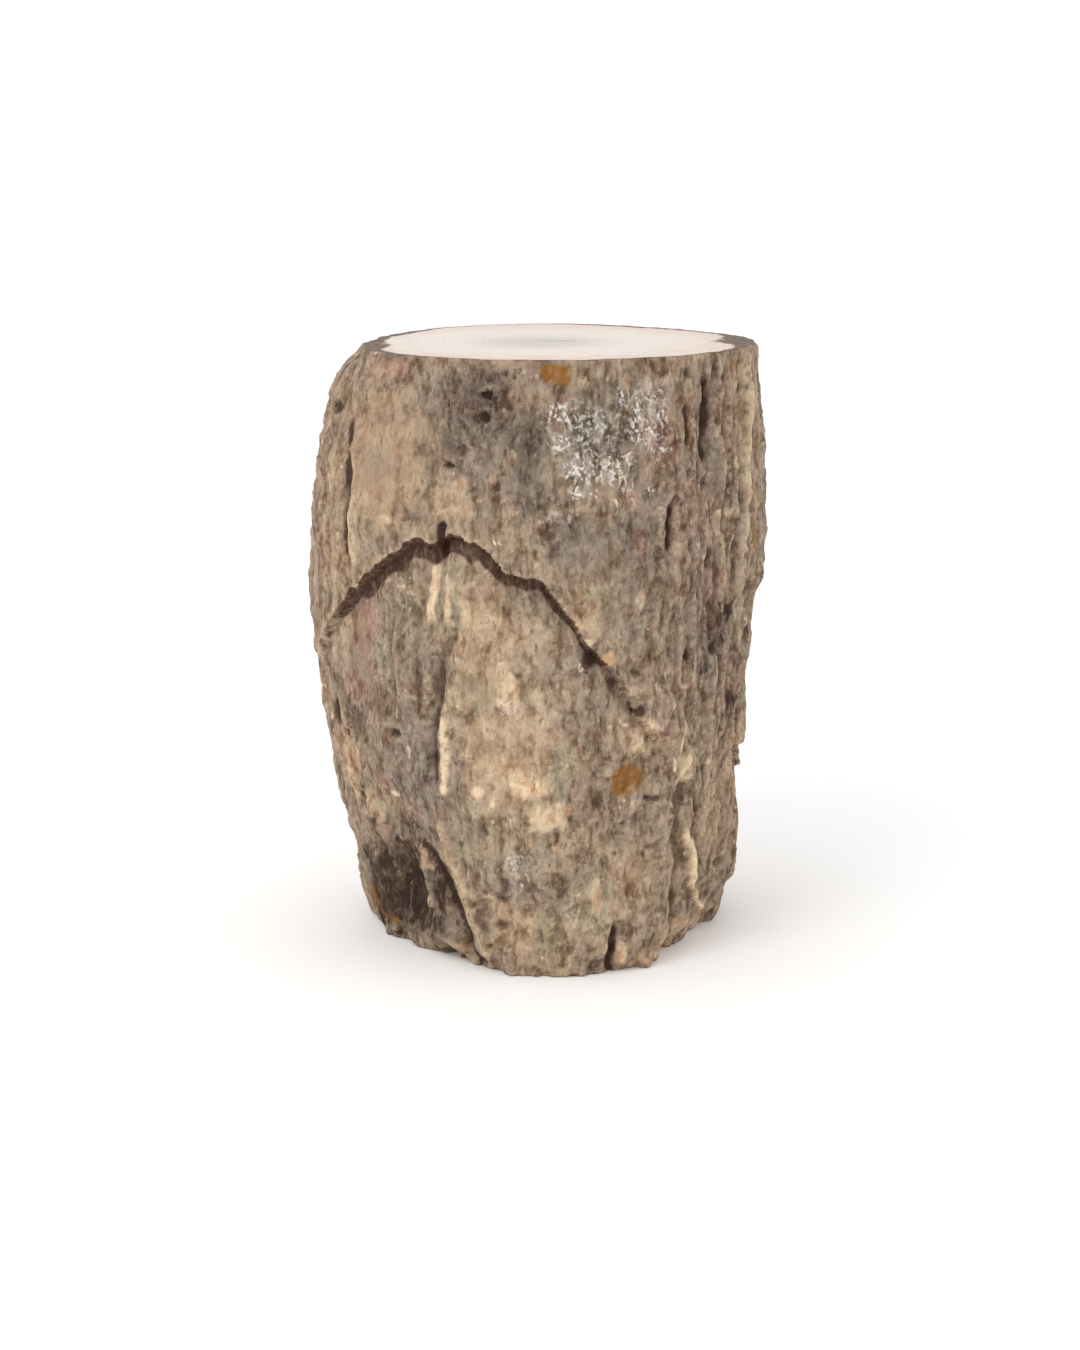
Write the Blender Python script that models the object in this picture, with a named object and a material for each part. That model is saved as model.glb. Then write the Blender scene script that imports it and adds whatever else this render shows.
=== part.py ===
# Petrified wood stump: one fossil log, sawn flat at both ends, polished on top and left rough round its side.
#
# The side is a stack of level rings. Each ring's radius comes from a girth table that is read every 30 degrees
# round the log and at seven heights, and the log's own features are then cut into it or raised on it: broken
# ledges, flutes, seams, hollows and swellings. Angles run anticlockwise from +X, seen from above, so that the
# front of the log, which faces -Y, is at 270 degrees. Heights are shares of the log's height.

import bmesh
import bpy
import numpy as np

LOG_HEIGHT = 0.430
LOG_RADIUS = 0.165

RING_COUNT = 41
POINTS_PER_RING = 90
ARRIS = 0.0012  # the worn edge round each sawn face
LEDGE_DROP = 0.012  # the height over which a ledge falls back

# Radius as a share of LOG_RADIUS, at 0, 30, 60 ... 330 degrees, for each height.
GIRTH = {
    0.000: (0.76, 0.89, 0.94, 0.93, 0.90, 0.85, 0.77, 0.73, 0.79, 0.88, 0.88, 0.71),
    0.140: (0.87, 0.91, 0.95, 0.93, 0.91, 0.90, 0.87, 0.79, 0.84, 0.93, 0.91, 0.81),
    0.372: (0.90, 0.91, 0.95, 0.93, 0.94, 0.98, 0.99, 0.93, 0.92, 0.95, 0.92, 0.88),
    0.651: (0.96, 0.93, 0.94, 0.95, 0.96, 0.99, 1.04, 1.00, 0.97, 0.95, 0.93, 0.91),
    0.865: (0.94, 0.92, 0.93, 0.96, 0.94, 0.93, 0.97, 0.98, 0.95, 0.93, 0.92, 0.92),
    0.955: (0.93, 0.92, 0.92, 0.96, 0.92, 0.87, 0.88, 0.93, 0.93, 0.92, 0.90, 0.91),
    1.000: (0.92, 0.89, 0.88, 0.94, 0.87, 0.78, 0.77, 0.87, 0.90, 0.90, 0.89, 0.90),
}

# A ledge is where an outer layer has broken away below a line of (degrees, height).
# step is how far the log falls back under the line, and reach is how far down that fades.
LEDGES = (
    {
        "line": ((178, 0.41), (192, 0.49), (209, 0.59), (224, 0.67), (240, 0.718), (254, 0.718), (262, 0.665),
                 (270, 0.65), (278, 0.60), (290, 0.505), (300, 0.40), (312, 0.30)),
        "step": 0.0095,
        "reach": 0.105,
    },
    {"line": ((18, 0.33), (34, 0.42), (52, 0.47), (70, 0.43), (86, 0.34)), "step": 0.0075, "reach": 0.080},
    {"line": ((95, 0.70), (112, 0.77), (130, 0.75), (148, 0.66), (163, 0.57)), "step": 0.0070, "reach": 0.090},
    {"line": ((335, 0.56), (347, 0.62), (362, 0.63), (380, 0.54)), "step": 0.0110, "reach": 0.100},
    {"line": ((339, 0.24), (351, 0.32), (363, 0.335), (370, 0.27), (388, 0.20)), "step": 0.0110, "reach": 0.060},
)

# A furrow runs up the log through its (degrees, height) points. A negative depth raises a rib instead.
FURROWS = (
    {"path": ((252, 0.01), (243, 0.115), (233, 0.205)), "width": 0.0075, "depth": 0.0050},
    {"path": ((241, 0.33), (243, 0.45), (248, 0.56)), "width": 0.0070, "depth": 0.0035},
    {"path": ((212, 0.69), (212, 0.77), (211, 0.86)), "width": 0.0075, "depth": 0.0030},
    {"path": ((290, 0.00), (290, 0.08)), "width": 0.0075, "depth": 0.0080},
    {"path": ((313, 0.00), (311, 0.22), (313, 0.42)), "width": 0.0080, "depth": 0.0080},
    {"path": ((319, 0.80), (320, 0.96)), "width": 0.0070, "depth": 0.0050},
    {"path": ((337, 0.35), (338, 0.70), (337, 0.98)), "width": 0.0075, "depth": 0.0055},
    {"path": ((350, 0.00), (350, 0.20), (347, 0.45)), "width": 0.0120, "depth": 0.0090},
    {"path": ((352, 0.66), (351, 0.98)), "width": 0.0075, "depth": 0.0045},
    {"path": ((28, 0.50), (31, 0.98)), "width": 0.0090, "depth": 0.0070},
    {"path": ((58, 0.00), (62, 0.42)), "width": 0.0100, "depth": 0.0080},
    {"path": ((78, 0.48), (75, 0.98)), "width": 0.0080, "depth": 0.0060},
    {"path": ((104, 0.00), (101, 0.66)), "width": 0.0110, "depth": 0.0090},
    {"path": ((126, 0.20), (124, 0.62)), "width": 0.0085, "depth": -0.0050},
    {"path": ((146, 0.00), (149, 0.50)), "width": 0.0100, "depth": 0.0080},
    {"path": ((172, 0.10), (176, 0.60), (174, 0.90)), "width": 0.0090, "depth": 0.0070},
)

# A swelling is a soft mound, and with a negative height a hollow: (degrees, height), half-sizes and rise.
SWELLINGS = (
    {"at": (267, 0.34), "half_size": (0.040, 0.085), "rise": 0.0070},
    {"at": (219, 0.115), "half_size": (0.036, 0.030), "rise": -0.0120},
    {"at": (350, 0.11), "half_size": (0.022, 0.018), "rise": 0.0110},
    {"at": (228, 0.38), "half_size": (0.030, 0.050), "rise": 0.0030},
    {"at": (66, 0.22), "half_size": (0.045, 0.050), "rise": 0.0060},
    {"at": (135, 0.36), "half_size": (0.050, 0.070), "rise": 0.0060},
    {"at": (45, 0.80), "half_size": (0.050, 0.045), "rise": 0.0050},
    {"at": (318, 0.00), "half_size": (0.026, 0.019), "rise": -0.0130},
    {"at": (340, 0.00), "half_size": (0.017, 0.019), "rise": -0.0100},
    {"at": (237, 0.00), "half_size": (0.034, 0.009), "rise": -0.0140},
    {"at": (272, 0.00), "half_size": (0.035, 0.012), "rise": 0.0050},
)

LUMPS = {"seed": 14, "round": 26, "up": 15, "rise": 0.0016}


# Smooth closed curve through equally spaced values: each stretch is a cubic that leaves one value and
# reaches the next with the slopes of their neighbours. Values run along the last axis.
def around(values, turn):
    count = values.shape[-1]
    place = np.mod(turn, 1.0) * count
    first = np.floor(place).astype(int)
    t = place - first
    before, start, end, after = (values[..., (first + k) % count] for k in (-1, 0, 1, 2))
    bend = 2 * before - 5 * start + 4 * end - after + t * (3 * (start - end) + after - before)
    return start + 0.5 * t * (end - before + t * bend)


# The same kind of curve up the log, through rows of values at given heights.
def upward(rows, row_heights, heights):
    slopes = np.gradient(rows, row_heights, axis=0)
    low = np.clip(np.searchsorted(row_heights, heights, side="right") - 1, 0, len(row_heights) - 2)
    gap = (row_heights[low + 1] - row_heights[low])[:, None]
    t = (heights - row_heights[low])[:, None] / gap
    ends = (2 * t**3 - 3 * t**2 + 1) * rows[low] + (3 * t**2 - 2 * t**3) * rows[low + 1]
    return ends + gap * ((t**3 - 2 * t**2 + t) * slopes[low] + (t**3 - t**2) * slopes[low + 1])


# How far one direction is round from another, in degrees, from -180 to 180.
def degrees_between(a, b):
    return (a - b + 180.0) % 360.0 - 180.0


def smooth(low, high, value):
    t = np.clip((value - low) / (high - low), 0.0, 1.0)
    return t * t * (3.0 - 2.0 * t)


# Below its line a ledge takes its step off the radius, and gives it back over its reach. It fades at both ends.
def ledge(degrees, height, line, step, reach):
    at, level = np.array(line).T
    middle = at.mean()
    turned = middle + degrees_between(degrees, middle)
    below = (np.interp(turned, at, level) - height) * LOG_HEIGHT
    ends = smooth(at[0], at[0] + 10.0, turned) * (1.0 - smooth(at[-1] - 14.0, at[-1], turned))
    return -step * ends * smooth(0.0, LEDGE_DROP, below) * np.exp(-np.maximum(below, 0.0) / reach)


# Across its path a furrow is a bell of the given width, and it dies out 3% of the height past its ends.
def furrow(degrees, height, path, width, depth):
    at, level = np.array(path).T
    order = np.argsort(level)
    middle = np.interp(height, level[order], at[order])
    across = np.radians(degrees_between(degrees, middle)) * LOG_RADIUS
    run = smooth(level.min() - 0.03, level.min() + 0.01, height)
    run = run * (1.0 - smooth(level.max() - 0.01, level.max() + 0.03, height))
    return -depth * run * np.exp(-((across / width) ** 2))


def swelling(degrees, height, at, half_size, rise):
    across = np.radians(degrees_between(degrees, at[0])) * LOG_RADIUS / half_size[0]
    along = (height - at[1]) * LOG_HEIGHT / half_size[1]
    return rise * np.exp(-(across**2) - along**2)


# Rows of small random radii, read with the same smooth curves as the girth.
def lumps(degrees, heights, seed, **size):
    rows = np.random.default_rng(seed).uniform(-1.0, 1.0, (size["up"], size["round"]))
    levels = np.linspace(0.0, 1.0, size["up"])
    return size["rise"] * upward(around(rows, degrees / 360.0), levels, heights)


# Level points at these radii and directions, as (ring, point, xy), with the middle of their box at zero.
def centred(radii, degrees):
    turn = np.radians(degrees)
    flat = np.stack([radii * np.cos(turn), radii * np.sin(turn)], -1)
    corners = flat.reshape(-1, 2)
    return flat - (corners.min(0) + corners.max(0)) / 2.0


# The radius of every ring (rows) in every direction (columns), in metres. The girth is measured from its own
# axis, and the features are placed by their direction from the middle of the log's box.
def ring_radii(degrees, heights):
    stations = np.array(sorted(GIRTH))
    girth = np.array([GIRTH[station] for station in stations])
    radii = LOG_RADIUS * upward(around(girth, degrees / 360.0), stations, heights)
    flat = centred(radii, degrees)
    across = np.degrees(np.arctan2(flat[..., 1], flat[..., 0])) % 360.0
    up = np.repeat(heights[:, None], len(degrees), 1)
    for shape, features in ((ledge, LEDGES), (furrow, FURROWS), (swelling, SWELLINGS)):
        for feature in features:
            radii += shape(across, up, **feature)
    return radii + lumps(degrees, heights, **LUMPS)


# Ring corners as (ring, point, xyz). The first and last rings are drawn in by the arris, and the whole log is
# then set so that the origin is under the middle of its box, on the floor.
def ring_points():
    degrees = np.arange(POINTS_PER_RING) * 360.0 / POINTS_PER_RING
    inner = np.linspace(0.0, 1.0, RING_COUNT - 2)
    arris_height = ARRIS / LOG_HEIGHT
    inner = np.clip(inner, arris_height, 1.0 - arris_height)
    heights = np.concatenate([[0.0], inner, [1.0]])
    radii = ring_radii(degrees, heights)
    radii[0] = radii[1] - ARRIS
    radii[-1] = radii[-2] - ARRIS
    level = np.repeat(heights[:, None], len(degrees), 1) * LOG_HEIGHT
    return np.concatenate([centred(radii, degrees), level[..., None]], -1)


def stone(name, colour, roughness):
    material = bpy.data.materials.new(name)
    material.use_nodes = True
    shader = material.node_tree.nodes["Principled BSDF"]
    shader.inputs["Base Color"].default_value = (*colour, 1.0)
    shader.inputs["Roughness"].default_value = roughness
    shader.inputs["Metallic"].default_value = 0.0
    return material


# The rings are bridged one to the next, and the first and last are filled with one flat face each.
def make_log():
    shell = bmesh.new()
    rings = [[shell.verts.new(corner) for corner in ring] for ring in ring_points()]
    loops = []
    for ring in rings:
        loops.append([shell.edges.new((a, b)) for a, b in zip(ring, ring[1:] + ring[:1])])
    for lower, upper in zip(loops, loops[1:]):
        bmesh.ops.bridge_loops(shell, edges=lower + upper)
    base = shell.faces.new(rings[0])
    top = shell.faces.new(rings[-1])
    bmesh.ops.recalc_face_normals(shell, faces=shell.faces)
    for face in shell.faces:
        face.smooth = face not in (base, top)
    top.material_index = 1

    mesh = bpy.data.meshes.new("petrified_wood")
    shell.to_mesh(mesh)
    shell.free()
    mesh.materials.append(stone("weathered_stone", (0.27, 0.20, 0.14), 0.85))
    mesh.materials.append(stone("polished_stone", (0.78, 0.68, 0.58), 0.15))
    log = bpy.data.objects.new("petrified_wood", mesh)
    bpy.context.scene.collection.objects.link(log)
    return log


for leftover in list(bpy.data.objects):
    bpy.data.objects.remove(leftover)
make_log()
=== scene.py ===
import itertools
import math

import bpy
import numpy as np
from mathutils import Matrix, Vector


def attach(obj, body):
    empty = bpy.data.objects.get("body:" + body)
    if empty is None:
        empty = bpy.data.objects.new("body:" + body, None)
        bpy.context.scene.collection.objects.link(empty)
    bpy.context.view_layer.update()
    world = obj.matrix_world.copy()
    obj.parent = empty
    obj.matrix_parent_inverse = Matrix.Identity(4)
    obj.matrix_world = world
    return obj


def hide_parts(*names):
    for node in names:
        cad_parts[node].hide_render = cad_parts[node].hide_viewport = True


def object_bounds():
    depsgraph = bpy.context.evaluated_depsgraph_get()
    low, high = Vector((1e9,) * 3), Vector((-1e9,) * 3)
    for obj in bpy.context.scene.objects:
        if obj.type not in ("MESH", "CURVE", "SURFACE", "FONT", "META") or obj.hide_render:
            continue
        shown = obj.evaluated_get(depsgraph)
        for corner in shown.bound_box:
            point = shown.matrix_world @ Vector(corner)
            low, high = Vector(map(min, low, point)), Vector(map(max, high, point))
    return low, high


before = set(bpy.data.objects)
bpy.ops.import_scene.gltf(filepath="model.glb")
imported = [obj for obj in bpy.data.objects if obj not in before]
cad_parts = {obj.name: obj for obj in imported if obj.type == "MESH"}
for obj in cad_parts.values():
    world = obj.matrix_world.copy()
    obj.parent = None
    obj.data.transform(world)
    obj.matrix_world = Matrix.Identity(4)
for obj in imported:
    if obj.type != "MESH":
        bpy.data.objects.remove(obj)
cadLow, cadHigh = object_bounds()
print("frame loaded, box", [round(v, 4) for v in (*cadLow, *cadHigh)])


# Directions are degrees round the log, anticlockwise from +X seen from above, so the front is at 270.
# Heights are shares of the log's height. Furrows, swellings, pits and patches have sizes in millimetres, and
# every other length is in metres.

log = {
    "facesRound": 448,
    "facesUp": 192,
    "radiusShare": 0.165 / 0.430,  # full radius over height
    "arris": 0.0012,  # worn edge round each sawn face
}

# Radius as a share of the full radius, at 0, 30, 60 ... 330 degrees, for each height.
girth = {
    0.000: (0.76, 0.89, 0.94, 0.93, 0.90, 0.85, 0.77, 0.73, 0.79, 0.88, 0.88, 0.71),
    0.140: (0.87, 0.91, 0.95, 0.93, 0.91, 0.90, 0.87, 0.79, 0.84, 0.93, 0.91, 0.81),
    0.372: (0.90, 0.91, 0.95, 0.93, 0.94, 0.98, 0.99, 0.93, 0.92, 0.95, 0.92, 0.88),
    0.651: (0.96, 0.93, 0.94, 0.95, 0.96, 0.99, 1.04, 1.00, 0.97, 0.95, 0.93, 0.91),
    0.865: (0.94, 0.92, 0.93, 0.96, 0.94, 0.93, 0.97, 0.98, 0.95, 0.93, 0.92, 0.92),
    0.955: (0.93, 0.92, 0.92, 0.96, 0.92, 0.87, 0.88, 0.93, 0.93, 0.92, 0.90, 0.91),
    1.000: (0.92, 0.89, 0.88, 0.94, 0.87, 0.78, 0.77, 0.87, 0.90, 0.90, 0.89, 0.90),
}

# A ledge is where an outer layer has broken away below a line of (degrees, height, width of the dark band).
# The dark band is painted shadow under the lip and dark patina; the darkening value sets how strong it is,
# and drop the height over which it falls back.
ledges = (
    {"line": ((178, 0.41, 0), (186, 0.455, 0), (192, 0.49, 0.0006), (198, 0.53, 0.0016),
              (205, 0.567, 0.0022), (210, 0.593, 0.0034), (214, 0.615, 0.007), (218, 0.632, 0.0105),
              (222, 0.647, 0.0115), (226, 0.665, 0.0105), (233, 0.692, 0.011), (240, 0.711, 0.012),
              (247, 0.72, 0.011), (254, 0.718, 0.012), (259, 0.69, 0.0115), (262, 0.665, 0.008),
              (268, 0.66, 0.008), (271, 0.648, 0.007), (274, 0.622, 0.0075), (278, 0.6, 0.006),
              (283, 0.555, 0.007), (290, 0.505, 0), (300, 0.4, 0), (312, 0.3, 0)),
     "step": 0.0095, "reach": 0.105, "stain": 1},
    {"line": ((18, 0.33, 0), (34, 0.42, 0.008), (52, 0.47, 0.011), (70, 0.43, 0.007), (86, 0.34, 0)),
     "step": 0.0075, "reach": 0.08, "stain": 0.9},
    {"line": ((95, 0.7, 0), (112, 0.77, 0.01), (130, 0.75, 0.012), (148, 0.66, 0.008), (163, 0.57, 0)),
     "step": 0.007, "reach": 0.09, "stain": 0.95},
    {"line": ((335, 0.56, 0), (347, 0.62, 0.005), (362, 0.63, 0.007), (380, 0.54, 0)),
     "step": 0.009, "reach": 0.11, "stain": 0.45, "drop": 0.03},
    {"line": ((339, 0.24, 0), (351, 0.32, 0.005), (363, 0.335, 0.006), (370, 0.27, 0.004), (388, 0.2, 0)),
     "step": 0.011, "reach": 0.06, "stain": 0.6},
)

# A furrow runs up the log through its (degrees, height) points, and then come its width, depth and darkness.
# A negative depth raises a rib. The darkness is painted shade in the furrow, and a negative one makes it
# pale.
furrows = (
    (((242, 0.44), (243.5, 0.51), (247, 0.56)), 6.2, 5.2, 0.5),
    (((240.5, 0.31), (240.5, 0.37), (242, 0.46)), 3.6, 3.2, 0.6),
    (((252, 0.01), (243, 0.115), (238, 0.165), (233, 0.205)), 6, 5.5, 0.75),
    (((256, 0.02), (248, 0.115), (243, 0.19), (242, 0.24)), 6, -4, -0.35),
    (((208, 0.205), (220, 0.15), (233, 0.085)), 5, -6, 0),
    (((200, 0.17), (209, 0.11), (219, 0.03)), 4, -4, 0),
    (((213, 0.165), (221, 0.115), (229, 0.04)), 3.6, 4.5, 0.6),
    (((243.5, 0.3), (244.5, 0.42)), 5.5, -3, -0.85), (((241, 0.58), (243, 0.67)), 4.8, -1.4, -0.75),
    (((246.5, 0.58), (247, 0.65)), 3.6, -1, -0.55), (((244, 0.685), (244.5, 0.742)), 4.6, 8, 0.95),
    (((212, 0.67), (212, 0.77), (211, 0.89)), 6.8, 6.8, 0.85),
    (((216, 0.66), (215.5, 0.77)), 5, -2.2, -0.5), (((227, 0.42), (226, 0.6)), 4, 2.5, 0.25),
    (((236, 0.47), (237, 0.6)), 3, 2, 0.3), (((290.5, 0), (290.5, 0.08)), 4.2, 8, 0.75),
    (((313, 0), (311, 0.22), (313, 0.42)), 5.5, 8, 0.2), (((312.5, 0.305), (313, 0.35)), 6, -5, -0.85),
    (((311, 0.36), (311.5, 0.41)), 4.5, -4, -0.7),
    (((334, 0.055), (328, 0.08), (321, 0.105), (317.5, 0.13), (316.5, 0.18), (315, 0.22)), 5, -5, -0.85),
    (((322, 0.14), (320, 0.2), (319, 0.27)), 4, 5, 0.55),
    (((305.5, 0.695), (305.5, 0.765)), 3.4, 5.5, 0.85), (((303, 0.56), (304, 0.62)), 2.5, 3, 0.45),
    (((312, 0.86), (312.5, 0.92)), 3.4, 4, 0.7), (((315.5, 0.78), (316.5, 0.905)), 3.4, 4.5, 0.55),
    (((319.5, 0.83), (320.5, 0.955)), 5.4, 8.5, 0.9),
    (((324, 0.3), (325, 0.6), (325, 0.98)), 4.2, -4.5, -0.15), (((328, 0.72), (327, 0.97)), 5.2, 8.5, 0.5),
    (((333, 0.78), (333.5, 0.9)), 4.4, 6.5, 0.4), (((337, 0.35), (338, 0.7), (337, 0.98)), 5, 7.5, 0.55),
    (((340, 0.66), (341, 0.99)), 3.6, -3, -0.45), (((350, 0), (350, 0.2), (347, 0.45)), 11, 9, 0.3),
    (((352, 0.62), (351, 0.98)), 4, 6, 0.5), (((28, 0.5), (31, 0.98)), 8, 7.5, 0.4),
    (((44, 0.52), (47, 0.9)), 3.5, 4.5, 0.7), (((58, 0), (62, 0.42)), 9, 8.5, 0.4),
    (((78, 0.48), (75, 0.98)), 7, 6.5, 0.5), (((92, 0.3), (90, 0.62)), 3, -3, -0.7),
    (((104, 0), (101, 0.66)), 10, 9.5, 0.4), (((126, 0.2), (124, 0.62)), 7, -5, -0.2),
    (((146, 0), (149, 0.5)), 9, 8.5, 0.4), (((160, 0.55), (163, 0.93)), 3.2, 5, 0.8),
    (((172, 0.1), (176, 0.6), (174, 0.9)), 8, 7.5, 0.4),
)

# A swelling is a soft mound: degrees, height, half width, half height and rise. It is a hollow below 0.
swellings = (
    (267, 0.34, 40, 85, 7), (219, 0.115, 36, 30, -13), (275, 0.2, 30, 30, 4), (300, 0.36, 26, 30, 4.5),
    (247, 0.86, 40, 40, -2.5), (350, 0.11, 22, 18, 11), (228, 0.38, 30, 50, 3), (66, 0.22, 45, 50, 6),
    (135, 0.36, 50, 70, 6), (45, 0.8, 50, 45, 5), (318, 0, 26, 19, -13), (340, 0, 17, 19, -10),
    (237, 0, 34, 9, -14), (272, 0, 35, 12, 5),
)

# A pit is a small dark hole: degrees, height, half width, half height, depth, and how dark it is, which is
# painted shade in the hole.
pits = (
    (257, 0.945, 5.2, 3, 5.5, 1), (256.5, 0.912, 3.4, 3.8, 5, 1), (246.5, 0.832, 5, 2.2, 3.5, 0.8),
    (242.5, 0.802, 2.2, 2.2, 2.5, 0.6), (238, 0.787, 3.6, 1.4, 2, 0.5), (227, 0.385, 6, 3.6, 3.5, 0.55),
    (217, 0.27, 5, 3, 3, 0.5), (199, 0.355, 5, 3.6, 4.5, 0.9), (192, 0.385, 7, 12, 4, 0.8),
    (201, 0.25, 5, 2.8, 3.5, 0.6), (260, 0.13, 5, 3.4, 3, 0.4), (254, 0.112, 6, 3.6, 3, 0.35),
    (260, 0.082, 7.5, 3.6, 4, 0.5), (247.5, 0.04, 6, 5.5, 3, 0.5), (297.5, 0.435, 3.4, 4.6, 4.5, 0.9),
    (295.5, 0.5, 4.6, 3.4, 3, 0.6), (284, 0.525, 6, 7.5, 3, 0.75), (290, 0.482, 4.6, 5, 2.5, 0.6),
    (255, 0.245, 6, 9, 2, 0.4), (302, 0.288, 7.5, 3, 3.5, 0.6), (313, 0.515, 3.6, 4.6, 4, 0.7),
    (324.5, 0.518, 6, 5, 5, 0.9), (328, 0.77, 5, 9, 4.5, 0.8), (319, 0.795, 7, 5, 3, 0.5),
    (283.5, 0.905, 3.6, 5, 2.5, 0.5), (312, 0.975, 3, 5, 2.5, 0.6), (202, 0.905, 9, 5, 3, 0.6),
    (345, 0.395, 12, 4.4, 4, 0.7), (342, 0.13, 10, 4, 4, 0.6), (212, 0.395, 5, 3.4, 2, 0.4),
    (20, 0.22, 6, 7, 6, 0.9), (36, 0.65, 4, 9, 4.5, 0.8), (88, 0.62, 6.5, 5.5, 6, 0.9),
    (110, 0.42, 4, 5, 4.5, 0.8), (132, 0.87, 5, 4, 5, 0.8), (158, 0.8, 5.5, 7.5, 6, 0.9),
    (66, 0.83, 4, 6, 5, 0.8), (140, 0.14, 7, 5, 5, 0.8),
)

# Layers of broken stone on top of that: the detail's size across and up the log, and how far it stands out.
relief = {
    "lumps": {"across": 0.028, "up": 0.040, "rise": 0.0026},
    "plates": {"across": 0.026, "up": 0.050, "rise": 0.0075, "levels": 4.0},
    "flutes": {"across": 0.0090, "up": 0.110, "rise": 0.0056},
    "chips": {"across": 0.010, "up": 0.019, "rise": 0.0010, "crack": 0.0005},
    "grain": {"across": 0.0050, "up": 0.016, "rise": 0.0005},
    "grit": {"across": 0.0065, "up": 0.0065, "rise": 0.0005},
    "brokenFoot": {"across": 0.014, "up": 0.014, "rise": 0.0070, "height": 0.018},
}
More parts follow.
